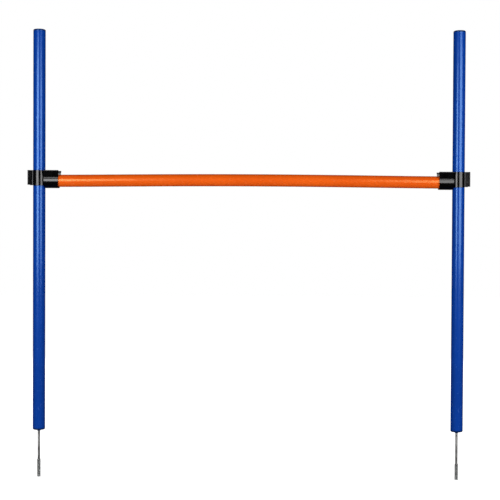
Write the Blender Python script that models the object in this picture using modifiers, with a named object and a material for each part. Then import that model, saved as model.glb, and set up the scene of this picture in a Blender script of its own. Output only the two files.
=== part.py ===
"""Agility hurdle: two posts on ground spikes, and a crossbar held in two sliding clips.

Metres, +Z up. The origin is on the ground line, midway between the posts. +X runs along the crossbar,
from the left post to the right one.
"""

import math

import bmesh
import bpy
from mathutils import Vector

# Driving dimensions
POST_SPACING = 1.072
POST_HEIGHT = 1.024
TUBE_RADIUS = 0.0156
TUBE_WALL = 0.0018
BAR_HEIGHT = 0.638
BAR_BOW = 0.0033
BAR_BOW_HALF_SPAN = 0.486
GAP = 0.0003

# End caps and spike plugs. TUBE_EDGE is how far the tubes' and spikes' end edges are broken.
TUBE_EDGE = 0.0003
FLANGE = 0.004
FLANGE_ROUNDING = 0.003
CAP_DEPTH = 0.014
CAP_WALL = 0.0018
PLUG_DEPTH = 0.040
PLUG_BASE = 0.016
BOSS_RADIUS = 0.0055
BOSS_TOP = 0.046
NOSE_HEIGHT = 0.003
NOSE_RADIUS = 0.0065
NOSE_TIP_RADIUS = 0.0042

# Spikes and their guards
SPIKE_RADIUS = 0.003
SPIKE_REACH = 0.119
SPIKE_HELD = 0.0405
SPIKE_POINT = 0.014
SPIKE_TIP_RADIUS = 0.0008
GUARD_RADIUS = 0.0044
GUARD_FLOOR = 0.002
GUARD_ROUNDING = 0.002
GUARD_END = {"left": 0.1234, "right": 0.1254}
GUARD_LENGTH = {"left": 0.0470, "right": 0.0425}

# Clips. The bar's axis is at z = 0 in the clip's own frame, and the post's axis at x = y = 0.
CLIP_BORE = TUBE_RADIUS + GAP
END_WALL_BORE = 0.0171
CLIP_RADIUS = 0.0189
CLIP_TOP = 0.0263
CLIP_EDGE = 0.0008
RING_BOTTOM = -0.0128
RING_ARC = math.radians(137)
RING_LIP_FLARE = math.radians(17)
RING_LIP_THICKNESS = 0.0026
RING_LIP_REACH = 0.0272
RING_LIP_CUT = 0.0018
RING_CUT_START = -0.0131
RING_CUT_END = -0.0150
CREASE_ROUNDING = 0.0025
CRADLE_START = 0.0144
CRADLE_WALL_END = 0.0193
CRADLE_JOIN = 0.0015
CRADLE_END = 0.0508
CRADLE_LIP_END = 0.0526
CRADLE_BORE = 0.0162
CRADLE_BORE_RISE = 0.0003
CRADLE_FACETS = 4
CRADLE_SIDE_RADIUS = 0.034
CRADLE_NECK = 0.009
CRADLE_LIP_FLARE = math.radians(16)
CRADLE_LIP_THICKNESS = 0.0024
CUTTER_REACH = 0.08

# The crossbar's ends stand this far from the posts' axes.
BAR_SETBACK = CRADLE_WALL_END + 0.0006
BAR_HALF_LENGTH = POST_SPACING / 2 - BAR_SETBACK

ROUND_STEPS = 32
SMALL_STEPS = 16
BAR_SEGMENTS = 16

SIDES = {"left": -1, "right": 1}


def clear_scene():
    for obj in list(bpy.data.objects):
        bpy.data.objects.remove(obj, do_unlink=True)


def new_collection(name, hidden):
    collection = bpy.data.collections.new(name)
    collection.hide_render = hidden
    bpy.context.scene.collection.children.link(collection)
    return collection


def plastic(name, colour, roughness):
    return material(name, colour, roughness, 0.0)


def material(name, colour, roughness, metallic):
    made = bpy.data.materials.new(name)
    made.use_nodes = True
    shader = made.node_tree.nodes["Principled BSDF"]
    shader.inputs["Base Color"].default_value = (*colour, 1.0)
    shader.inputs["Roughness"].default_value = roughness
    shader.inputs["Metallic"].default_value = metallic
    return made


def arc(centre, radius, start, end, steps):
    """Points on an arc in a plane, from one angle to another."""
    angles = [start + (end - start) * i / steps for i in range(steps + 1)]
    return [centre + radius * Vector((math.cos(a), math.sin(a))) for a in angles]


def turned(name, profile, steps, collection, closed=False):
    """A solid turned round its own Z axis. The profile's points are (radius, height)."""
    mesh = bpy.data.meshes.new(name)
    points = [(radius, 0.0, height) for radius, height in profile]
    edges = [(i, i + 1) for i in range(len(points) - 1)]
    if closed:
        edges.append((len(points) - 1, 0))
    mesh.from_pydata(points, edges, [])
    obj = bpy.data.objects.new(name, mesh)
    collection.objects.link(obj)
    screw = obj.modifiers.new("Turn", "SCREW")
    screw.steps = steps
    screw.render_steps = steps
    screw.use_merge_vertices = True
    screw.merge_threshold = 0.00001
    screw.use_smooth_shade = True
    return obj


def as_mesh(obj, name, collection):
    """The evaluated object as a plain mesh, with its loose caps welded."""
    bpy.context.view_layer.update()
    graph = bpy.context.evaluated_depsgraph_get()
    mesh = bpy.data.meshes.new_from_object(obj.evaluated_get(graph))
    mesh.name = name
    shape = bmesh.new()
    shape.from_mesh(mesh)
    bmesh.ops.remove_doubles(shape, verts=shape.verts, dist=0.000005)
    bmesh.ops.recalc_face_normals(shape, faces=shape.faces)
    shape.to_mesh(mesh)
    shape.free()
    made = bpy.data.objects.new(name, mesh)
    made.matrix_world = obj.matrix_world.copy()
    collection.objects.link(made)
    bpy.data.objects.remove(obj, do_unlink=True)
    return made


def extruded(name, outline, depth, collection, location=(0, 0, 0), rotation=(0, 0, 0)):
    """A flat outline, given as (x, y) points, extruded both ways along its own Z axis."""
    curve = bpy.data.curves.new(name, "CURVE")
    curve.dimensions = "2D"
    curve.fill_mode = "BOTH"
    curve.extrude = depth / 2
    spline = curve.splines.new("POLY")
    spline.points.add(len(outline) - 1)
    for point, (x, y) in zip(spline.points, outline):
        point.co = (x, y, 0.0, 1.0)
    spline.use_cyclic_u = True
    obj = bpy.data.objects.new(name + "_outline", curve)
    obj.location = location
    obj.rotation_euler = rotation
    collection.objects.link(obj)
    return as_mesh(obj, name, collection)


def soften(obj, width, angle):
    bevel = obj.modifiers.new("Soften", "BEVEL")
    bevel.width = width
    bevel.segments = 2
    bevel.limit_method = "ANGLE"
    bevel.angle_limit = angle
    return bevel


def boolean(obj, other, operation):
    other.hide_render = True
    other.display_type = "WIRE"
    modifier = obj.modifiers.new(operation.title(), "BOOLEAN")
    modifier.operation = operation
    modifier.object = other
    modifier.solver = "EXACT"


def post_tube_profile():
    """A tube between the cap's flange and the plug's flange, with slightly broken end edges."""
    top = POST_HEIGHT - FLANGE - GAP
    bottom = FLANGE + GAP
    inner = TUBE_RADIUS - TUBE_WALL
    return [
        (TUBE_RADIUS - TUBE_EDGE, top),
        (TUBE_RADIUS, top - TUBE_EDGE),
        (TUBE_RADIUS, bottom + TUBE_EDGE),
        (TUBE_RADIUS - TUBE_EDGE, bottom),
        (inner, bottom),
        (inner, top),
    ]


def cap_profile():
    """A hollow end cap. Its outer face is at height 0, and its skirt hangs below its flange."""
    skirt = TUBE_RADIUS - TUBE_WALL - GAP
    centre = Vector((TUBE_RADIUS - FLANGE_ROUNDING, -FLANGE_ROUNDING))
    rounding = arc(centre, FLANGE_ROUNDING, math.pi / 2, 0, 5)
    return [
        (0, 0),
        *rounding,
        (TUBE_RADIUS, -FLANGE),
        (skirt, -FLANGE),
        (skirt, -FLANGE - CAP_DEPTH),
        (skirt - CAP_WALL, -FLANGE - CAP_DEPTH),
        (skirt - CAP_WALL, -FLANGE - CAP_WALL),
        (0, -FLANGE - CAP_WALL),
    ]


def spike_plug_profile():
    """A plug with a skirt and a boss, and a blind hole for the spike. Its shoulder is at height 0."""
    skirt = TUBE_RADIUS - TUBE_WALL - GAP
    hole = SPIKE_RADIUS + GAP
    centre = Vector((TUBE_RADIUS - FLANGE_ROUNDING, FLANGE_ROUNDING))
    rounding = arc(centre, FLANGE_ROUNDING, 0, -math.pi / 2, 5)
    return [
        (0, BOSS_TOP),
        (BOSS_RADIUS, BOSS_TOP),
        (BOSS_RADIUS, PLUG_BASE),
        (skirt - CAP_WALL, PLUG_BASE),
        (skirt - CAP_WALL, FLANGE + PLUG_DEPTH),
        (skirt, FLANGE + PLUG_DEPTH),
        (skirt, FLANGE),
        (TUBE_RADIUS, FLANGE),
        *rounding,
        (NOSE_RADIUS, 0),
        (NOSE_TIP_RADIUS, -NOSE_HEIGHT),
        (hole, -NOSE_HEIGHT),
        (hole, SPIKE_HELD + GAP),
        (0, SPIKE_HELD + GAP),
    ]


def spike_profile():
    return [
        (0, SPIKE_HELD),
        (SPIKE_RADIUS - TUBE_EDGE, SPIKE_HELD),
        (SPIKE_RADIUS, SPIKE_HELD - TUBE_EDGE),
        (SPIKE_RADIUS, SPIKE_POINT - SPIKE_REACH),
        (SPIKE_TIP_RADIUS, -SPIKE_REACH),
        (0, -SPIKE_REACH),
    ]


def guard_profile(length):
    """A sleeve with a rounded closed end, at height 0. Its mouth is at the top."""
    bore = SPIKE_RADIUS + GAP
    centre = Vector((GUARD_RADIUS - GUARD_ROUNDING, GUARD_ROUNDING))
    rounding = arc(centre, GUARD_ROUNDING, 0, -math.pi / 2, 5)
    return [
        (0, GUARD_FLOOR),
        (bore * 0.5, GUARD_FLOOR),
        (bore, GUARD_FLOOR + bore * 0.5),
        (bore, length),
        (GUARD_RADIUS, length),
        *rounding,
        (0, 0),
    ]


def bow_height(x):
    """How far the crossbar's axis stands above its ends."""
    share = min(abs(x) / BAR_BOW_HALF_SPAN, 1.0)
    return BAR_BOW * (1 - share * share) ** 1.5


def fillet(before, corner, after, radius, steps):
    """An arc of this radius in place of a corner between two straight runs."""
    back = (before - corner).normalized()
    ahead = (after - corner).normalized()
    half = back.angle(ahead) / 2
    centre = corner + (back + ahead).normalized() * (radius / math.sin(half))
    start = corner + back * (radius / math.tan(half)) - centre
    end = corner + ahead * (radius / math.tan(half)) - centre
    first = math.atan2(start.y, start.x)
    turn = math.remainder(math.atan2(end.y, end.x) - first, 2 * math.pi)
    return arc(centre, radius, first, first + turn, steps)


def lip(tangent, crease, direction, inward, thickness, length):
    """A lip's points, from its rounded outer crease round its tip to where its inner side starts."""
    middle = crease + direction * length + inward * (thickness / 2)
    turn = math.atan2(-inward.y, -inward.x)
    way = 1 if direction.cross(inward) > 0 else -1
    tip = arc(middle, thickness / 2, turn, turn + way * math.pi, 6)
    return [*fillet(crease - tangent, crease, tip[0], CREASE_ROUNDING, 3), *tip]


def mirrored(points):
    return [Vector((x, -y)) for x, y in reversed(points)]


def ring_outline():
    """The upright C in plan. Its mouth faces -X."""
    crease = CLIP_RADIUS * Vector((math.cos(RING_ARC), math.sin(RING_ARC)))
    direction = Vector((-math.cos(RING_LIP_FLARE), math.sin(RING_LIP_FLARE)))
    inward = Vector((-direction.y, direction.x))
    half_thickness = RING_LIP_THICKNESS / 2
    tip_centre = -RING_LIP_REACH + half_thickness
    length = (tip_centre - crease.x - inward.x * half_thickness) / direction.x
    tangent = Vector((-math.sin(RING_ARC), math.cos(RING_ARC)))
    upper_lip = lip(tangent, crease, direction, inward, RING_LIP_THICKNESS, length)
    upper_lip.append(crease + inward * RING_LIP_THICKNESS)
    outer = arc(Vector((0, 0)), CLIP_RADIUS, -RING_ARC, RING_ARC, 24)
    inner = arc(Vector((0, 0)), CLIP_BORE, RING_ARC, -RING_ARC, 24)
    return [*outer[1:-1], *upper_lip, *inner, *mirrored(upper_lip)]


def cradle_half_outline():
    """Half of the cradle across its length, as (y, z): outside from its foot to its lip, and back inside.

    Flat facets line the channel, and the crossbar rests on the lowest one.
    """
    outer = arc(Vector((0, 0)), CLIP_RADIUS, -math.pi / 2, 0, 12)
    side_centre = Vector((CLIP_RADIUS - CRADLE_SIDE_RADIUS, 0))
    side_angle = math.asin(CRADLE_NECK / CRADLE_SIDE_RADIUS)
    side = arc(side_centre, CRADLE_SIDE_RADIUS, 0, side_angle, 3)
    crease = side[-1]
    direction = Vector((math.sin(CRADLE_LIP_FLARE), math.cos(CRADLE_LIP_FLARE)))
    inward = Vector((-direction.y, direction.x))
    half_thickness = CRADLE_LIP_THICKNESS / 2
    tip_centre = CLIP_TOP - half_thickness
    length = (tip_centre - crease.y - inward.y * half_thickness) / direction.y
    tangent = Vector((-math.sin(side_angle), math.cos(side_angle)))
    top_lip = lip(tangent, crease, direction, inward, CRADLE_LIP_THICKNESS, length)
    inner_foot = crease + inward * CRADLE_LIP_THICKNESS
    rise = (CRADLE_BORE - inner_foot.x) / direction.x
    shoulder = inner_foot + direction * rise
    facet = math.pi / CRADLE_FACETS
    corner_radius = CRADLE_BORE / math.cos(facet / 2)
    last = (facet - math.pi) / 2
    corners = arc(Vector((0, CRADLE_BORE_RISE)), corner_radius, -facet / 2, last, CRADLE_FACETS // 2 - 1)
    return [*outer, *side[1:-1], *top_lip, shoulder, *corners]


def flipped(points):
    return [Vector((-x, y)) for x, y in reversed(points)]


def cradle_outline():
    half = cradle_half_outline()
    return [*half, *flipped(half)[:-1]]


def end_wall_outline():
    """The cradle's outer outline, filled, with a flat top between its lips."""
    half = cradle_half_outline()
    top = max(range(len(half)), key=lambda i: half[i].y)
    outside = half[: top + 1]
    return [*outside, *flipped(outside)[:-1]]


def ring(collection):
    height = CLIP_TOP - RING_BOTTOM
    middle = (CLIP_TOP + RING_BOTTOM) / 2
    made = extruded("clip_ring", ring_outline(), height, collection, (0, 0, middle))
    low = RING_BOTTOM + RING_LIP_CUT
    below = [
        (RING_CUT_START, -CUTTER_REACH),
        (RING_CUT_START, RING_BOTTOM),
        (RING_CUT_END, low),
        (-CUTTER_REACH, low),
        (-CUTTER_REACH, -CUTTER_REACH),
    ]
    cutter = extruded("lip_cutter", below, CUTTER_REACH, collection, rotation=(math.pi / 2, 0, 0))
    boolean(made, cutter, "DIFFERENCE")
    soften(made, CLIP_EDGE, math.radians(70))
    return made


def cradle(collection):
    """The channel that holds the crossbar's end. Its lips reach further along the bar at the top."""
    level = (math.pi / 2, 0, math.pi / 2)
    start = CRADLE_WALL_END - CRADLE_JOIN
    length = CRADLE_LIP_END - start
    middle = (CRADLE_LIP_END + start) / 2
    made = extruded("clip_cradle", cradle_outline(), length, collection, (middle, 0, 0), level)
    slant = (CRADLE_LIP_END - CRADLE_END) / (CLIP_TOP - CRADLE_NECK)
    beyond = [
        (CRADLE_END, -CUTTER_REACH),
        (CUTTER_REACH, -CUTTER_REACH),
        (CUTTER_REACH, CUTTER_REACH),
        (CRADLE_END + slant * (CUTTER_REACH - CRADLE_NECK), CUTTER_REACH),
        (CRADLE_END, CRADLE_NECK),
    ]
    cutter = extruded("end_cutter", beyond, CUTTER_REACH, collection, rotation=(math.pi / 2, 0, 0))
    boolean(made, cutter, "DIFFERENCE")
    soften(made, CLIP_EDGE, math.radians(70))
    return made


def end_wall(collection):
    level = (math.pi / 2, 0, math.pi / 2)
    thickness = CRADLE_WALL_END - CRADLE_START
    middle = (CRADLE_WALL_END + CRADLE_START) / 2
    made = extruded("clip_end_wall", end_wall_outline(), thickness, collection, (middle, 0, 0), level)
    soften(made, CLIP_EDGE, math.radians(70))
    bore = [
        (0, CUTTER_REACH),
        (END_WALL_BORE, CUTTER_REACH),
        (END_WALL_BORE, -CUTTER_REACH),
        (0, -CUTTER_REACH),
    ]
    boolean(made, turned("bore_cutter", bore, ROUND_STEPS, collection), "DIFFERENCE")
    return made


def clip_mesh(cutters):
    """The whole double clip, joined into one body, in its own frame."""
    body = ring(cutters)
    boolean(body, end_wall(cutters), "UNION")
    boolean(body, cradle(cutters), "UNION")
    made = as_mesh(body, "double_clip", cutters)
    made.data.transform(made.matrix_world)
    made.matrix_world.identity()
    made.data.shade_smooth()
    made.data.set_sharp_from_angle(angle=math.radians(35))
    made.hide_render = True
    return made.data


def add_post(side, x, parts, finishes):
    tube = turned(side + "_post_tube", post_tube_profile(), ROUND_STEPS, parts, closed=True)
    tube.location.x = x
    cap = turned(side + "_post_cap", cap_profile(), ROUND_STEPS, parts)
    cap.location = (x, 0, POST_HEIGHT)
    plug = turned(side + "_spike_plug", spike_plug_profile(), ROUND_STEPS, parts)
    plug.location.x = x
    spike = turned(side + "_spike", spike_profile(), SMALL_STEPS, parts)
    spike.location.x = x
    guard = turned(side + "_spike_guard", guard_profile(GUARD_LENGTH[side]), SMALL_STEPS, parts)
    guard.location = (x, 0, -GUARD_END[side])
    for obj in (tube, cap, plug):
        obj.data.materials.append(finishes["blue"])
    spike.data.materials.append(finishes["steel"])
    guard.data.materials.append(finishes["clear"])


def add_clip(side, x, mesh, parts):
    clip = bpy.data.objects.new(side + "_clip", mesh)
    clip.location = (x, 0, BAR_HEIGHT)
    clip.rotation_euler.z = 0.0 if side == "left" else math.pi
    parts.objects.link(clip)


def add_crossbar(parts, finish):
    """A tube along a POLY spline, hollowed inwards by Solidify, and its two end caps."""
    half = BAR_HALF_LENGTH - FLANGE - GAP
    stations = [-half]
    stations += [BAR_BOW_HALF_SPAN * (2 * i / BAR_SEGMENTS - 1) for i in range(BAR_SEGMENTS + 1)]
    stations += [half]
    curve = bpy.data.curves.new("crossbar_tube", "CURVE")
    curve.dimensions = "3D"
    curve.bevel_depth = TUBE_RADIUS
    curve.bevel_resolution = (ROUND_STEPS - 4) // 2
    spline = curve.splines.new("POLY")
    spline.points.add(len(stations) - 1)
    for point, x in zip(spline.points, stations):
        point.co = (x, 0.0, bow_height(x), 1.0)
    curve.materials.append(finish)
    tube = bpy.data.objects.new("crossbar_tube", curve)
    tube.location.z = BAR_HEIGHT
    parts.objects.link(tube)
    hollow = tube.modifiers.new("Hollow", "SOLIDIFY")
    hollow.thickness = TUBE_WALL
    hollow.offset = -1
    hollow.use_even_offset = True
    for side, sign in SIDES.items():
        cap = turned(side + "_crossbar_cap", cap_profile(), ROUND_STEPS, parts)
        cap.location = (sign * BAR_HALF_LENGTH, 0, BAR_HEIGHT)
        cap.rotation_euler.y = sign * math.pi / 2
        cap.data.materials.append(finish)


def build():
    clear_scene()
    parts = new_collection("agility_hurdle", hidden=False)
    cutters = new_collection("cutters", hidden=True)
    finishes = {
        "blue": plastic("post_blue", (0.010, 0.040, 0.270), 0.22),
        "orange": plastic("bar_orange", (0.800, 0.090, 0.006), 0.25),
        "black": plastic("clip_black", (0.006, 0.006, 0.006), 0.25),
        "clear": plastic("guard_clear", (0.300, 0.300, 0.300), 0.30),
        "steel": material("spike_steel", (0.420, 0.420, 0.410), 0.35, 1.0),
    }
    clip = clip_mesh(cutters)
    clip.materials.append(finishes["black"])
    for side, sign in SIDES.items():
        x = sign * POST_SPACING / 2
        add_post(side, x, parts, finishes)
        add_clip(side, x, clip, parts)
    add_crossbar(parts, finishes["orange"])


build()
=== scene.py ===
"""Looks of an agility hurdle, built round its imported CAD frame. Metres, +Z up."""

import math

import bmesh
import bpy
from mathutils import Matrix, Vector

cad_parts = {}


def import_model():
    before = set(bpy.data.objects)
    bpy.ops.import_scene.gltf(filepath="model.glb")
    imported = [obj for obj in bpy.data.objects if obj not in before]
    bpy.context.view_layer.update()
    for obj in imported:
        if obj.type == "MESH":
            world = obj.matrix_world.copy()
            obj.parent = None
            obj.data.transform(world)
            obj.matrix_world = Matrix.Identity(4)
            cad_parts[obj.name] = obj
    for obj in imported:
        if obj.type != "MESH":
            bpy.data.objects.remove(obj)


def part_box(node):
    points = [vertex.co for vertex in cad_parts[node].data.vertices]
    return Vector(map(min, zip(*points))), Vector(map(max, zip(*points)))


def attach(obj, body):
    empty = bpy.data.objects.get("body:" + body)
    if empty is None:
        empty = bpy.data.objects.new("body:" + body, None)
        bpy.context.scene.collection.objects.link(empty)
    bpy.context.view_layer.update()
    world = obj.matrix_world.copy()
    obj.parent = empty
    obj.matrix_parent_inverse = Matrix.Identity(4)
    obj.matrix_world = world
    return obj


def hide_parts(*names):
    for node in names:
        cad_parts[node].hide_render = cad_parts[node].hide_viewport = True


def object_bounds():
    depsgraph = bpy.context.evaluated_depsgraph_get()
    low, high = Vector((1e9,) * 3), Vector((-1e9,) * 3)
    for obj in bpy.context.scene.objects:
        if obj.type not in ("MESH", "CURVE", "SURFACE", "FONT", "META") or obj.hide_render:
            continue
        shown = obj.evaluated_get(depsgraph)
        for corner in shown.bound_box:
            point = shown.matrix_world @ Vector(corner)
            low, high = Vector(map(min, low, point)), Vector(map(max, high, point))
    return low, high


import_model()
cad_low, cad_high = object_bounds()

SIDES = {"left": -1, "right": 1}
HALF_TURN = math.pi
QUARTER_TURN = math.pi / 2

# Camera. Its height and offset are measured from the ground line, midway between the posts.
CAMERA_DISTANCE = 2.85
CAMERA_OFFSET = 0.0235
CAMERA_HEIGHT = 0.5104
CAMERA_LENS = 80.17
CAMERA_PITCH = math.radians(-0.95)
CAMERA_YAW = math.radians(0.385)
CAMERA_ROLL = math.radians(0.275)

# Studio
SOFTBOX_DISTANCE = 2.06
SOFTBOX_INNER = {"left": 0.627, "right": 0.708}
SOFTBOX_OUTER = {"left": 1.97, "right": 2.81}
SOFTBOX_BOTTOM = 0.30
SOFTBOX_TOP = {"left": 1.72, "right": 1.88}
SOFTBOX_RADIANCE = {"left": 6.8, "right": 5.1}
BACKBOX_DISTANCE = 2.8
BACKBOX_RADIANCE = 3.0
FLOOR_SIZE = 16.0
FLOOR_SHADE = 0.7
FLOOR_GLOW = 0.985
AMBIENT = 0.05
GLOSSY_AMBIENT = 0.012
FLOOR_ROUGHNESS = 0.9
FLOOR_GAP = 0.0005

# Smoothness
ROUND_STEPS = 128
SMALL_STEPS = 64
CORNER_STEPS = 4
RIM_STEPS = 10
CREASE_STEPS = 8
TIP_STEPS = 16
RING_STEPS = 96
CRADLE_OUTER_STEPS = 36
CRADLE_INNER_STEPS = 32
BAR_STEP = 0.013
SHARP_ANGLE = math.radians(30)
ON_AXIS = 1e-7

# Tubes, caps and plugs
TUBE_WALL = 0.0018
TUBE_EDGE = 0.0004
CAP_ROUNDING = 0.003
CAP_FLANGE = 0.004
CAP_SKIRT = 0.014
CAP_WALL = 0.0018
CAP_GAP = 0.0003
GATE_RADIUS = 0.0016
GATE_DEPTH = 0.00025
PLUG_SKIRT = 0.040
PLUG_BASE = 0.016
BOSS_RADIUS = 0.0055
BOSS_TOP = 0.046
NOSE_RADIUS = 0.0065
NOSE_TIP_RADIUS = 0.0042
NOSE_HEIGHT = 0.003
NOSE_FOOT_ROUNDING = 0.0006
NOSE_TIP_ROUNDING = 0.0004
BAR_BOW_HALF_SPAN = 0.486
BAR_BOW_POWER = 1.5

# Spikes and their guards
SPIKE_POINT = 0.014
SPIKE_TIP_RADIUS = 0.0006
SPIKE_EDGE = 0.0004
SPIKE_SHOULDER_ROUNDING = 0.004
SPIKE_TIP_ROUNDING = 0.0004
SPIKE_GAP = 0.0003
GUARD_FLOOR = 0.002
GUARD_CORNER = 0.0020
GUARD_MOUTH_EDGE = 0.0004

# Clips, in a frame of their own: the post's axis is Z, and the bar lies along +X at height 0.
CLIP_BORE = 0.0159
CLIP_EDGE = 0.0006
CLIP_EDGE_SEGMENTS = 3
CLIP_EDGE_ANGLE = math.radians(40)
MERGE_DISTANCE = 0.00002
FLAT_ANGLE = math.radians(0.5)
END_WALL_BORE = 0.0171
RING_BOTTOM = -0.0128
RING_ARC = math.radians(137)
RING_LIP_FLARE = math.radians(18)
RING_LIP_THICKNESS = 0.0026
RING_LIP_CUT = 0.0018
RING_CUT_START = -0.0131
RING_CUT_END = -0.0150
CREASE_ROUNDING = 0.0025
CRADLE_START = 0.0144
CRADLE_WALL_END = 0.0193
CRADLE_JOIN = 0.0015
CRADLE_END = 0.0508
CRADLE_BORE = 0.0162
CRADLE_BORE_RISE = 0.0003
CRADLE_LEAN = math.radians(15)
CRADLE_NECK = 0.0078
CRADLE_LIP_FLARE = math.radians(15)
CRADLE_LIP_THICKNESS = 0.0024
CUTTER_REACH = 0.08

# Colours, as linear red, green and blue
BLUE_TINT = (0.32, 0.61, 1.0)
ORANGE_TINT = (1.0, 0.85, 0.35)
POST_COLOURS = {
    "light": (0.0020, 0.050, 0.37),
    "dark": (0.0016, 0.044, 0.33),
    "scuffed": (0.05, 0.11, 0.40),
}
BAR_COLOURS = {
    "light": (0.86, 0.115, 0.006),
    "dark": (0.81, 0.102, 0.005),
    "scuffed": (0.85, 0.22, 0.10),
}
POST_CAP_COLOURS = {"light": (0.0012, 0.022, 0.14), "dark": (0.0010, 0.018, 0.12)}
BAR_CAP_COLOURS = {"light": (0.78, 0.090, 0.005), "dark": (0.70, 0.080, 0.004)}
CLIP_COLOURS = {
    "light": (0.0016, 0.0016, 0.0018),
    "dark": (0.0008, 0.0008, 0.0009),
    "scuffed": (0.02, 0.02, 0.02),
}
STEEL_COLOURS = {
    "light": (0.52, 0.52, 0.51),
    "dark": (0.40, 0.40, 0.39),
    "speck": (0.10, 0.095, 0.09),
}
VINYL_COLOURS = {"light": (0.70, 0.71, 0.71), "dark": (0.58, 0.59, 0.59)}

# Parts of a noise's values, and the shift between two noises for a seed of 1
WHOLE = (0.0, 1.0)
MOST = (0.3, 0.7)
MIDDLE = (0.35, 0.65)
SEED_SHIFT = (1.0, 0.7, 0.3)


def width_of(node, axis):
    low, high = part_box(node)
    return high[axis] - low[axis]


def middle_of(node, axis):
    low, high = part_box(node)
    return (high[axis] + low[axis]) / 2


TUBE_RADIUS = width_of("left_post_tube", 0) / 2
SPIKE_RADIUS = width_of("left_spike", 0) / 2
GUARD_RADIUS = width_of("left_spike_guard", 0) / 2
POST_X = {side: middle_of(side + "_post_tube", 0) for side in SIDES}
POST_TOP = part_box("left_post_cap")[1].z
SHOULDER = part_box("left_spike_plug")[0].z + NOSE_HEIGHT
BAR_HEIGHT = middle_of("left_crossbar_cap", 2)
BAR_HALF_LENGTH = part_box("right_crossbar_cap")[1].x
BAR_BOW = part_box("crossbar_tube")[1].z - TUBE_RADIUS - BAR_HEIGHT
CLIP_LOW, CLIP_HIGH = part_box("left_clip")
CLIP_TOP = CLIP_HIGH.z - BAR_HEIGHT
CLIP_RADIUS = BAR_HEIGHT - CLIP_LOW.z
RING_LIP_REACH = POST_X["left"] - CLIP_LOW.x
CRADLE_LIP_END = CLIP_HIGH.x - POST_X["left"]


# ---------------------------------------------------------------- shapes


def arc(centre, radius, start, end, steps):
    angles = [start + (end - start) * i / steps for i in range(steps + 1)]
    return [Vector(centre) + radius * Vector((math.cos(a), math.sin(a))) for a in angles]


def rounded(corner, before, after, radius, steps=CORNER_STEPS):
    """An arc in place of a corner of an outline."""
    corner, before, after = Vector(corner), Vector(before), Vector(after)
    back = (before - corner).normalized()
    ahead = (after - corner).normalized()
    half = back.angle(ahead) / 2
    centre = corner + (back + ahead).normalized() * (radius / math.sin(half))
    start = corner + back * (radius / math.tan(half)) - centre
    end = corner + ahead * (radius / math.tan(half)) - centre
    first = math.atan2(start.y, start.x)
    turn = math.remainder(math.atan2(end.y, end.x) - first, 2 * math.pi)
    return arc(centre, radius, first, first + turn, steps)


def softened(profile, radii):
    """A profile with some of its corners rounded. radii maps a corner's number to its radius."""
    points = []
    for i, point in enumerate(profile):
        if i in radii:
            points += rounded(point, profile[i - 1], profile[(i + 1) % len(profile)], radii[i])
        else:
            points.append(Vector(point))
    return points


def stepped(profile, longest):
    """A closed profile with points added, so that no straight part is longer than a limit."""
    points = []
    for one, two in zip(profile, profile[1:] + profile[:1]):
        count = math.ceil((two - one).length / longest)
        points += [one.lerp(two, i / count) for i in range(count)]
    return points


def new_object(name, mesh):
    obj = bpy.data.objects.new(name, mesh)
    bpy.context.scene.collection.objects.link(obj)
    return obj


def finish_mesh(shape, name):
    bmesh.ops.recalc_face_normals(shape, faces=shape.faces)
    mesh = bpy.data.meshes.new(name)
    shape.to_mesh(mesh)
    shape.free()
    mesh.shade_smooth()
    mesh.set_sharp_from_angle(angle=SHARP_ANGLE)
    return new_object(name, mesh)


def turned(name, profile, steps, closed=False):
    """A solid turned round its own Z axis. The profile's points are (radius, height)."""
    shape = bmesh.new()
    rings = []
    for radius, height in profile:
        if radius < ON_AXIS:
            rings.append([shape.verts.new((0, 0, height))])
            continue
        angles = [2 * math.pi * i / steps for i in range(steps)]
        points = [(radius * math.cos(a), radius * math.sin(a), height) for a in angles]
        rings.append([shape.verts.new(point) for point in points])
    pairs = list(zip(rings, rings[1:]))
    if closed:
        pairs.append((rings[-1], rings[0]))
    for one, two in pairs:
        for i in range(steps):
            j = (i + 1) % steps
            corners = [one[i % len(one)], one[j % len(one)], two[j % len(two)], two[i % len(two)]]
            corners = list(dict.fromkeys(corners))
            if len(corners) > 2:
                shape.faces.new(corners)
    return finish_mesh(shape, name)


def extruded(name, outline, depth, matrix):
    """A flat outline, given as (x, y) points, extruded both ways along its own Z axis."""
    shape = bmesh.new()
    low = [shape.verts.new((x, y, -depth / 2)) for x, y in outline]
    high = [shape.verts.new((x, y, depth / 2)) for x, y in outline]
    shape.faces.new(low[::-1])
    shape.faces.new(high)
    count = len(outline)
    for i in range(count):
        j = (i + 1) % count
        shape.faces.new((low[i], low[j], high[j], high[i]))
    bmesh.ops.transform(shape, matrix=matrix, verts=shape.verts)
    return finish_mesh(shape, name)


def combine(obj, other, operation):
    modifier = obj.modifiers.new(operation.title(), "BOOLEAN")
    modifier.operation = operation
    modifier.object = other
    modifier.solver = "EXACT"
    return bake(obj, other)


def bake(obj, *spent):
    """Applies the modifiers, and removes the objects that they used."""
    bpy.context.view_layer.update()
    graph = bpy.context.evaluated_depsgraph_get()
    mesh = bpy.data.meshes.new_from_object(obj.evaluated_get(graph))
    obj.modifiers.clear()
    obj.data = mesh
    for other in spent:
        bpy.data.objects.remove(other, do_unlink=True)
    return obj


# ---------------------------------------------------------------- profiles


def tube_profile(low, high):
    inner = TUBE_RADIUS - TUBE_WALL
    corners = [(TUBE_RADIUS, high), (TUBE_RADIUS, low), (inner, low), (inner, high)]
    return softened(corners, {i: TUBE_EDGE for i in range(4)})


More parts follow.
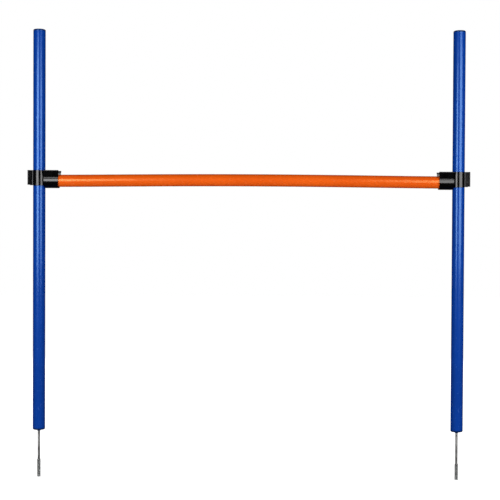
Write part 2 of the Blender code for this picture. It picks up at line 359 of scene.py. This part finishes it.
def cap_profile():
    """A hollow end cap. Its outer face is at height 0, and it has the shallow mark of its gate."""
    skirt = TUBE_RADIUS - TUBE_WALL - CAP_GAP
    rim = arc((TUBE_RADIUS - CAP_ROUNDING, -CAP_ROUNDING), CAP_ROUNDING, QUARTER_TURN, 0, RIM_STEPS)
    under = -CAP_FLANGE
    return [
        (0, -GATE_DEPTH),
        (GATE_RADIUS, -GATE_DEPTH),
        (GATE_RADIUS + GATE_DEPTH, 0),
        *rim,
        (TUBE_RADIUS, under),
        (skirt, under),
        (skirt, under - CAP_SKIRT),
        (skirt - CAP_WALL, under - CAP_SKIRT),
        (skirt - CAP_WALL, under - CAP_WALL),
        (0, under - CAP_WALL),
    ]


def plug_profile():
    """A plug with a skirt, and a boss that holds the spike. Its shoulder is at height 0."""
    skirt = TUBE_RADIUS - TUBE_WALL - CAP_GAP
    hole = SPIKE_RADIUS + SPIKE_GAP
    hole_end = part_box("left_spike")[1].z - SHOULDER + SPIKE_GAP
    rim = arc((TUBE_RADIUS - CAP_ROUNDING, CAP_ROUNDING), CAP_ROUNDING, 0, -QUARTER_TURN, RIM_STEPS)
    nose = softened(
        [(TUBE_RADIUS, 0), (NOSE_RADIUS, 0), (NOSE_TIP_RADIUS, -NOSE_HEIGHT), (hole, -NOSE_HEIGHT)],
        {1: NOSE_FOOT_ROUNDING, 2: NOSE_TIP_ROUNDING},
    )
    return [
        (0, BOSS_TOP),
        (BOSS_RADIUS, BOSS_TOP),
        (BOSS_RADIUS, PLUG_BASE),
        (skirt - CAP_WALL, PLUG_BASE),
        (skirt - CAP_WALL, CAP_FLANGE + PLUG_SKIRT),
        (skirt, CAP_FLANGE + PLUG_SKIRT),
        (skirt, CAP_FLANGE),
        (TUBE_RADIUS, CAP_FLANGE),
        *rim,
        *nose[1:],
        (hole, hole_end),
        (0, hole_end),
    ]


def spike_profile(low, high):
    corners = [
        (0, high),
        (SPIKE_RADIUS, high),
        (SPIKE_RADIUS, low + SPIKE_POINT),
        (SPIKE_TIP_RADIUS, low),
        (0, low),
    ]
    return softened(corners, {1: SPIKE_EDGE, 2: SPIKE_SHOULDER_ROUNDING, 3: SPIKE_TIP_ROUNDING})


def guard_profile(length):
    """A soft sleeve with a blunt closed end at height 0. Its mouth is at the top."""
    bore = SPIKE_RADIUS + SPIKE_GAP
    corners = [
        (0, 0),
        (GUARD_RADIUS, 0),
        (GUARD_RADIUS, length),
        (bore, length),
        (bore, GUARD_FLOOR),
        (0, GUARD_FLOOR),
    ]
    radii = {1: GUARD_CORNER, 2: GUARD_MOUTH_EDGE, 3: GUARD_MOUTH_EDGE, 4: GUARD_CORNER}
    return softened(corners, radii)


# ---------------------------------------------------------------- clip


def lip(tangent, crease, direction, inward, thickness, length):
    """A lip's points, from its rounded outer crease round its tip to where its inner side starts."""
    middle = crease + direction * length + inward * (thickness / 2)
    turn = math.atan2(-inward.y, -inward.x)
    way = 1 if direction.cross(inward) > 0 else -1
    tip = arc(middle, thickness / 2, turn, turn + way * HALF_TURN, TIP_STEPS)
    return [*rounded(crease, crease - tangent, tip[0], CREASE_ROUNDING, CREASE_STEPS), *tip]


def mirrored(points):
    return [Vector((x, -y)) for x, y in reversed(points)]


def flipped(points):
    return [Vector((-x, y)) for x, y in reversed(points)]


def ring_outline():
    """The upright C in plan. Its mouth faces -X."""
    crease = CLIP_RADIUS * Vector((math.cos(RING_ARC), math.sin(RING_ARC)))
    direction = Vector((-math.cos(RING_LIP_FLARE), math.sin(RING_LIP_FLARE)))
    inward = Vector((-direction.y, direction.x))
    half_thickness = RING_LIP_THICKNESS / 2
    tip_centre = -RING_LIP_REACH + half_thickness
    length = (tip_centre - crease.x - inward.x * half_thickness) / direction.x
    tangent = Vector((-math.sin(RING_ARC), math.cos(RING_ARC)))
    upper_lip = lip(tangent, crease, direction, inward, RING_LIP_THICKNESS, length)
    upper_lip.append(crease + inward * RING_LIP_THICKNESS)
    outer = arc((0, 0), CLIP_RADIUS, -RING_ARC, RING_ARC, RING_STEPS)
    inner = arc((0, 0), CLIP_BORE, RING_ARC, -RING_ARC, RING_STEPS)
    return [*outer[1:-1], *upper_lip, *inner, *mirrored(upper_lip)]


def cradle_half_outline():
    """Half of the cradle across its length, as (y, z): up its outside to the lip, and back inside."""
    outer = arc((0, 0), CLIP_RADIUS, -QUARTER_TURN, CRADLE_LEAN, CRADLE_OUTER_STEPS)
    tangent = Vector((-math.sin(CRADLE_LEAN), math.cos(CRADLE_LEAN)))
    crease = outer[-1] + tangent * ((CRADLE_NECK - outer[-1].y) / tangent.y)
    direction = Vector((math.sin(CRADLE_LIP_FLARE), math.cos(CRADLE_LIP_FLARE)))
    inward = Vector((-direction.y, direction.x))
    half_thickness = CRADLE_LIP_THICKNESS / 2
    tip_centre = CLIP_TOP - half_thickness
    length = (tip_centre - crease.y - inward.y * half_thickness) / direction.y
    top_lip = lip(tangent, crease, direction, inward, CRADLE_LIP_THICKNESS, length)
    inner_foot = crease + inward * CRADLE_LIP_THICKNESS
    rise = (CRADLE_BORE - inner_foot.x) / direction.x
    shoulder = inner_foot + direction * rise
    inner = arc((0, CRADLE_BORE_RISE), CRADLE_BORE, 0, -QUARTER_TURN, CRADLE_INNER_STEPS)
    return [*outer, *top_lip, shoulder, *inner]


def cradle_outline():
    half = cradle_half_outline()
    return [*half, *flipped(half)[1:-1]]


def end_wall_outline():
    """The cradle's outer outline, filled, with a flat top between its lips."""
    half = cradle_half_outline()
    top = max(range(len(half)), key=lambda i: half[i].y)
    outside = half[: top + 1]
    return [*outside, *flipped(outside)[:-1]]


UPRIGHT = Matrix.Rotation(QUARTER_TURN, 4, "X")
ALONG_BAR = Matrix.Rotation(QUARTER_TURN, 4, "Z") @ UPRIGHT


def ring():
    height = CLIP_TOP - RING_BOTTOM
    middle = Matrix.Translation((0, 0, (CLIP_TOP + RING_BOTTOM) / 2))
    made = extruded("clip_ring", ring_outline(), height, middle)
    low = RING_BOTTOM + RING_LIP_CUT
    below = [
        (RING_CUT_START, -CUTTER_REACH),
        (RING_CUT_START, RING_BOTTOM),
        (RING_CUT_END, low),
        (-CUTTER_REACH, low),
        (-CUTTER_REACH, -CUTTER_REACH),
    ]
    return combine(made, extruded("lip_cutter", below, CUTTER_REACH, UPRIGHT), "DIFFERENCE")


def cradle():
    """The channel that holds the crossbar's end. Its lips reach further along the bar at the top."""
    start = CRADLE_WALL_END - CRADLE_JOIN
    place = Matrix.Translation(((CRADLE_LIP_END + start) / 2, 0, 0)) @ ALONG_BAR
    made = extruded("clip_cradle", cradle_outline(), CRADLE_LIP_END - start, place)
    slant = (CRADLE_LIP_END - CRADLE_END) / (CLIP_TOP - CRADLE_NECK)
    beyond = [
        (CRADLE_END, -CUTTER_REACH),
        (CUTTER_REACH, -CUTTER_REACH),
        (CUTTER_REACH, CUTTER_REACH),
        (CRADLE_END + slant * (CUTTER_REACH - CRADLE_NECK), CUTTER_REACH),
        (CRADLE_END, CRADLE_NECK),
    ]
    return combine(made, extruded("end_cutter", beyond, CUTTER_REACH, UPRIGHT), "DIFFERENCE")


def end_wall():
    thickness = CRADLE_WALL_END - CRADLE_START
    place = Matrix.Translation(((CRADLE_WALL_END + CRADLE_START) / 2, 0, 0)) @ ALONG_BAR
    made = extruded("clip_end_wall", end_wall_outline(), thickness, place)
    reach = CUTTER_REACH
    bore = [(0, reach), (END_WALL_BORE, reach), (END_WALL_BORE, -reach), (0, -reach)]
    return combine(made, turned("bore_cutter", bore, ROUND_STEPS), "DIFFERENCE")


def clip_mesh():
    """The whole double clip in its own frame, with its edges rounded as a moulding's are."""
    made = combine(combine(ring(), end_wall(), "UNION"), cradle(), "UNION")
    shape = bmesh.new()
    shape.from_mesh(made.data)
    bmesh.ops.remove_doubles(shape, verts=shape.verts, dist=MERGE_DISTANCE)
    bmesh.ops.dissolve_limit(shape, angle_limit=FLAT_ANGLE, verts=shape.verts, edges=shape.edges)
    shape.to_mesh(made.data)
    shape.free()
    # No edge stays sharp here, because the rounding and the weighted normals shade the corners.
    made.data.shade_smooth()
    made.data.set_sharp_from_angle(angle=HALF_TURN)
    bevel = made.modifiers.new("Round", "BEVEL")
    bevel.width = CLIP_EDGE
    bevel.segments = CLIP_EDGE_SEGMENTS
    bevel.limit_method = "ANGLE"
    bevel.angle_limit = CLIP_EDGE_ANGLE
    made.modifiers.new("Even", "WEIGHTED_NORMAL")
    mesh = bake(made).data
    bpy.data.objects.remove(made, do_unlink=True)
    return mesh


# ---------------------------------------------------------------- materials


class Finish:
    """A procedural material that is built up node by node round one Principled shader."""

    def __init__(self, name, **sockets):
        self.material = bpy.data.materials.new(name)
        self.material.use_nodes = True
        self.tree = self.material.node_tree
        self.shader = self.tree.nodes["Principled BSDF"]
        for socket, value in sockets.items():
            self.shader.inputs[socket.replace("_", " ")].default_value = value
        self.place = self.tree.nodes.new("ShaderNodeTexCoord").outputs["Object"]

    def noise(self, scale, detail=3.0, stretch=(1, 1, 1), distortion=0.0, seed=0.0):
        mapping = self.tree.nodes.new("ShaderNodeMapping")
        mapping.inputs["Scale"].default_value = stretch
        mapping.inputs["Location"].default_value = [seed * shift for shift in SEED_SHIFT]
        self.tree.links.new(self.place, mapping.inputs["Vector"])
        made = self.tree.nodes.new("ShaderNodeTexNoise")
        made.inputs["Scale"].default_value = scale
        made.inputs["Detail"].default_value = detail
        made.inputs["Distortion"].default_value = distortion
        self.tree.links.new(mapping.outputs["Vector"], made.inputs["Vector"])
        return made.outputs["Fac"]

    def ranged(self, value, span, result=WHOLE):
        """Maps one span of values to another, and holds the rest at its ends."""
        made = self.tree.nodes.new("ShaderNodeMapRange")
        sockets = ("From Min", "From Max", "To Min", "To Max")
        for socket, number in zip(sockets, (*span, *result)):
            made.inputs[socket].default_value = number
        self.tree.links.new(value, made.inputs["Value"])
        return made.outputs["Result"]

    def share(self, mask, most):
        """A mask that goes up to a given strength in place of 1."""
        return self.ranged(mask, WHOLE, (0.0, most))

    def combined(self, one, two, operation):
        made = self.tree.nodes.new("ShaderNodeMath")
        made.operation = operation
        self.tree.links.new(one, made.inputs[0])
        self.tree.links.new(two, made.inputs[1])
        return made.outputs["Value"]

    def blend(self, share, one, two):
        """A colour between two, each given as numbers or as another socket."""
        made = self.tree.nodes.new("ShaderNodeMix")
        made.data_type = "RGBA"
        self.tree.links.new(share, made.inputs["Factor"])
        for socket, colour in ((made.inputs[6], one), (made.inputs[7], two)):
            if isinstance(colour, tuple):
                socket.default_value = (*colour, 1.0)
            else:
                self.tree.links.new(colour, socket)
        return made.outputs[2]

    def relief(self, height, distance, normal=None):
        made = self.tree.nodes.new("ShaderNodeBump")
        made.inputs["Distance"].default_value = distance
        self.tree.links.new(height, made.inputs["Height"])
        if normal:
            self.tree.links.new(normal, made.inputs["Normal"])
        return made.outputs["Normal"]

    def wire(self, socket, value):
        self.tree.links.new(value, self.shader.inputs[socket])


def tube_plastic(name, light, dark, scuffed, tint, gloss):
    """Glossy extruded plastic: draw lines along its Z axis, slight waviness and fine scuffs."""
    made = Finish(name, IOR=1.5, Specular_IOR_Level=gloss, Specular_Tint=(*tint, 1.0))
    draw_lines = made.noise(scale=900, detail=2, stretch=(1, 1, 0.004))
    waviness = made.noise(scale=38, detail=2, stretch=(1, 1, 0.35), seed=3.0)
    clouds = made.noise(scale=9, seed=1.7)
    scratches = made.noise(scale=260, detail=4, stretch=(1, 0.22, 0.5), distortion=1.2, seed=5.0)
    scuffs = made.ranged(scratches, (0.63, 0.70))
    pits = made.noise(scale=1400, detail=2, stretch=(1, 1, 0.3), distortion=0.4, seed=8.0)
    nicks = made.ranged(pits, (0.70, 0.76))
    colour = made.blend(made.ranged(clouds, MIDDLE), dark, light)
    made.wire("Base Color", made.blend(made.share(scuffs, 0.22), colour, scuffed))
    roughness = made.ranged(draw_lines, MOST, (0.20, 0.25))
    made.wire("Roughness", made.combined(roughness, made.share(scuffs, 0.14), "ADD"))
    normal = made.relief(waviness, distance=0.00003)
    normal = made.relief(draw_lines, distance=0.000004, normal=normal)
    made.wire("Normal", made.relief(nicks, distance=-0.000005, normal=normal))
    return made.material


def cap_plastic(name, light, dark, tint):
    """Satin moulded plastic with a fine spark-eroded grain and a few clouds."""
    made = Finish(name, IOR=1.5, Specular_IOR_Level=1.0, Specular_Tint=(*tint, 1.0))
    grain = made.noise(scale=2600, detail=2)
    clouds = made.noise(scale=60, seed=2.1)
    made.wire("Base Color", made.blend(made.ranged(clouds, MIDDLE), dark, light))
    made.wire("Roughness", made.ranged(grain, MOST, (0.28, 0.36)))
    made.wire("Normal", made.relief(grain, distance=0.000012))
    return made.material


def clip_plastic(name, light, dark, scuffed):
    """Glossy moulded plastic, with flow marks and light handling wear."""
    made = Finish(name, IOR=1.5)
    flow = made.noise(scale=55, detail=4, stretch=(1, 1, 0.5), distortion=1.6, seed=4.0)
    grain = made.noise(scale=2200, detail=2)
    scratches = made.noise(scale=320, detail=4, stretch=(0.25, 1, 1), distortion=1.0, seed=6.0)
    scuffs = made.ranged(scratches, (0.64, 0.72))
    colour = made.blend(made.ranged(flow, MIDDLE), dark, light)
    made.wire("Base Color", made.blend(made.share(scuffs, 0.35), colour, scuffed))
    roughness = made.ranged(flow, MOST, (0.13, 0.19))
    made.wire("Roughness", made.combined(roughness, made.share(scuffs, 0.15), "ADD"))
    normal = made.relief(flow, distance=0.00003)
    made.wire("Normal", made.relief(grain, distance=0.000006, normal=normal))
    return made.material


def drawn_steel(name, light, dark, speck):
    """Zinc-plated wire: fine lines along it, dull patches and a few darker specks."""
    made = Finish(name, Metallic=1.0)
    lines = made.noise(scale=2400, stretch=(1, 1, 0.01))
    patches = made.noise(scale=70, detail=4, stretch=(1, 1, 0.6), distortion=0.8, seed=2.0)
    specks = made.ranged(made.noise(scale=900, seed=7.0), (0.66, 0.72))
    colour = made.blend(made.ranged(patches, MIDDLE), dark, light)
    made.wire("Base Color", made.blend(made.share(specks, 0.6), colour, speck))
    roughness = made.ranged(patches, MIDDLE, (0.30, 0.44))
    lined = made.ranged(lines, MOST, (0.0, 0.08))
    made.wire("Roughness", made.combined(roughness, lined, "ADD"))
    made.wire("Normal", made.relief(lines, distance=0.00002))
    return made.material


def clear_vinyl(name, light, dark):
    """Soft clear vinyl, slightly cloudy, with a smooth dipped skin."""
    made = Finish(name, IOR=1.45, Transmission_Weight=0.9)
    clouds = made.noise(scale=120, seed=1.1)
    made.wire("Base Color", made.blend(made.ranged(clouds, MOST), dark, light))
    made.wire("Roughness", made.ranged(clouds, MOST, (0.12, 0.20)))
    skin = made.noise(scale=300, detail=2)
    made.wire("Normal", made.relief(skin, distance=0.000015))
    return made.material


# ---------------------------------------------------------------- pieces


def dress(obj, material, body, node=None):
    """Gives a piece its material, and puts it on its body in place of its CAD node."""
    obj.data.materials.clear()
    obj.data.materials.append(material)
    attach(obj, body)
    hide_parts(node or obj.name.removesuffix("_look"))
    return obj


def post(side, finishes):
    x = POST_X[side]
    low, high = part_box(side + "_post_tube")
    half = (high.z - low.z) / 2
    tube = turned(side + "_post_tube_look", tube_profile(-half, half), ROUND_STEPS, closed=True)
    tube.location = (x, 0, low.z + half)
    dress(tube, finishes["post"], "posts")
    cap = turned(side + "_post_cap_look", cap_profile(), ROUND_STEPS)
    cap.location = (x, 0, POST_TOP)
    dress(cap, finishes["cap"], "posts")
    plug = turned(side + "_spike_plug_look", plug_profile(), ROUND_STEPS)
    plug.location = (x, 0, SHOULDER)
    dress(plug, finishes["cap"], "posts")


def spike(side, finishes):
    x = POST_X[side]
    low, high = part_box(side + "_spike")
    rod = turned(side + "_spike_look", spike_profile(low.z, high.z), SMALL_STEPS)
    rod.location.x = x
    dress(rod, finishes["steel"], "posts")
    low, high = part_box(side + "_spike_guard")
    guard = turned(side + "_spike_guard_look", guard_profile(high.z - low.z), SMALL_STEPS)
    guard.location = (x, 0, low.z)
    dress(guard, finishes["guard"], side + "_spike_guard")


def clip(side, mesh, finishes):
    made = new_object(side + "_clip_look", mesh)
    made.location = (POST_X[side], 0, BAR_HEIGHT)
    made.rotation_euler.z = 0.0 if side == "left" else HALF_TURN
    dress(made, finishes["clip"], side + "_clip")


def bow_height(x):
    share = min(abs(x) / BAR_BOW_HALF_SPAN, 1.0)
    return BAR_BOW * (1 - share * share) ** BAR_BOW_POWER


def crossbar(finishes):
    """The tube is turned round its own Z axis, bent to the bow, and then laid along X."""
    low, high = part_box("crossbar_tube")
    half = (high.x - low.x) / 2
    profile = stepped(tube_profile(-half, half), BAR_STEP)
    tube = turned("crossbar_tube_look", profile, ROUND_STEPS, closed=True)
    for vertex in tube.data.vertices:
        vertex.co.x -= bow_height(vertex.co.z)
    tube.location.z = BAR_HEIGHT
    tube.rotation_euler.y = QUARTER_TURN
    dress(tube, finishes["bar"], "crossbar")
    for side, sign in SIDES.items():
        cap = turned(side + "_crossbar_cap_look", cap_profile(), ROUND_STEPS)
        cap.location = (sign * BAR_HALF_LENGTH, 0, BAR_HEIGHT)
        cap.rotation_euler.y = sign * QUARTER_TURN
        dress(cap, finishes["bar_cap"], "crossbar")


# ---------------------------------------------------------------- studio


def place_camera():
    camera = bpy.data.objects.new("camera", bpy.data.cameras.new("camera"))
    bpy.context.scene.collection.objects.link(camera)
    camera.data.lens = CAMERA_LENS
    turn = Matrix.Rotation(CAMERA_YAW, 4, "Z") @ Matrix.Rotation(QUARTER_TURN + CAMERA_PITCH, 4, "X")
    place = Matrix.Translation((CAMERA_OFFSET, -CAMERA_DISTANCE, CAMERA_HEIGHT))
    camera.matrix_world = place @ turn @ Matrix.Rotation(CAMERA_ROLL, 4, "Z")
    bpy.context.scene.camera = camera


def softbox(name, x, y, z, width, height, radiance):
    """A rectangular light that faces the hurdle, square to the Y axis. One behind it isn't reflected."""
    light = bpy.data.lights.new(name, "AREA")
    light.shape = "RECTANGLE"
    light.size = width
    light.size_y = height
    light.energy = radiance * math.pi * width * height
    lamp = bpy.data.objects.new(name, light)
    bpy.context.scene.collection.objects.link(lamp)
    lamp.location = (x, y, z)
    lamp.rotation_euler.x = QUARTER_TURN if y < 0 else -QUARTER_TURN
    lamp.visible_camera = False
    lamp.visible_glossy = y < 0


def world():
    """White to the camera and through clear pieces, dim in reflections, and a soft fill for the rest."""
    made = bpy.data.worlds.new("studio")
    bpy.context.scene.world = made
    made.use_nodes = True
    nodes, links = made.node_tree.nodes, made.node_tree.links
    rays = nodes.new("ShaderNodeLightPath")
    fill = nodes.new("ShaderNodeMapRange")
    fill.inputs["To Min"].default_value = AMBIENT
    fill.inputs["To Max"].default_value = GLOSSY_AMBIENT
    links.new(rays.outputs["Is Glossy Ray"], fill.inputs["Value"])
    seen = nodes.new("ShaderNodeMath")
    seen.operation = "MAXIMUM"
    links.new(rays.outputs["Is Camera Ray"], seen.inputs[0])
    links.new(fill.outputs["Result"], seen.inputs[1])
    clear = nodes.new("ShaderNodeMath")
    clear.operation = "MAXIMUM"
    links.new(rays.outputs["Is Transmission Ray"], clear.inputs[0])
    links.new(seen.outputs["Value"], clear.inputs[1])
    links.new(clear.outputs["Value"], nodes["Background"].inputs["Strength"])
    nodes["Background"].inputs["Color"].default_value = (1, 1, 1, 1)


def floor():
    """A plain pale floor, level with the spikes' lowest point, that meets the white of the studio."""
    shape = bmesh.new()
    bmesh.ops.create_grid(shape, x_segments=1, y_segments=1, size=FLOOR_SIZE / 2)
    made = finish_mesh(shape, "floor")
    made.location.z = cad_low.z - FLOOR_GAP
    made.visible_glossy = False
    material = bpy.data.materials.new("floor_pale")
    material.use_nodes = True
    tree = material.node_tree
    shader = tree.nodes["Principled BSDF"]
    shader.inputs["Base Color"].default_value = (FLOOR_SHADE, FLOOR_SHADE, FLOOR_SHADE, 1)
    shader.inputs["Roughness"].default_value = FLOOR_ROUGHNESS
    shader.inputs["Specular IOR Level"].default_value = 0.0
    shader.inputs["Emission Color"].default_value = (1, 1, 1, 1)
    rays = tree.nodes.new("ShaderNodeLightPath")
    glow = tree.nodes.new("ShaderNodeMath")
    glow.operation = "MULTIPLY"
    glow.inputs[1].default_value = FLOOR_GLOW
    tree.links.new(rays.outputs["Is Camera Ray"], glow.inputs[0])
    tree.links.new(glow.outputs["Value"], shader.inputs["Emission Strength"])
    made.data.materials.append(material)


def studio():
    for side, sign in SIDES.items():
        height = SOFTBOX_TOP[side] - SOFTBOX_BOTTOM
        z = (SOFTBOX_TOP[side] + SOFTBOX_BOTTOM) / 2
        width = SOFTBOX_OUTER[side] - SOFTBOX_INNER[side]
        x = sign * (SOFTBOX_OUTER[side] + SOFTBOX_INNER[side]) / 2
        softbox(side + "_softbox", x, -SOFTBOX_DISTANCE, z, width, height, SOFTBOX_RADIANCE[side])
        softbox(side + "_backbox", x, BACKBOX_DISTANCE, z, width, height, BACKBOX_RADIANCE)
    world()
    floor()
    bpy.context.scene.view_settings.view_transform = "Standard"


def finishes_by_part():
    return {
        "post": tube_plastic("post_blue_plastic", tint=BLUE_TINT, gloss=1.0, **POST_COLOURS),
        "cap": cap_plastic("cap_blue_plastic", tint=BLUE_TINT, **POST_CAP_COLOURS),
        "bar": tube_plastic("bar_orange_plastic", tint=ORANGE_TINT, gloss=0.7, **BAR_COLOURS),
        "bar_cap": cap_plastic("bar_cap_orange_plastic", tint=ORANGE_TINT, **BAR_CAP_COLOURS),
        "clip": clip_plastic("clip_black_plastic", **CLIP_COLOURS),
        "steel": drawn_steel("spike_drawn_steel", **STEEL_COLOURS),
        "guard": clear_vinyl("guard_clear_vinyl", **VINYL_COLOURS),
    }


def build():
    place_camera()
    finishes = finishes_by_part()
    mesh = clip_mesh()
    for side in SIDES:
        post(side, finishes)
        spike(side, finishes)
        clip(side, mesh, finishes)
    crossbar(finishes)
    studio()


build()
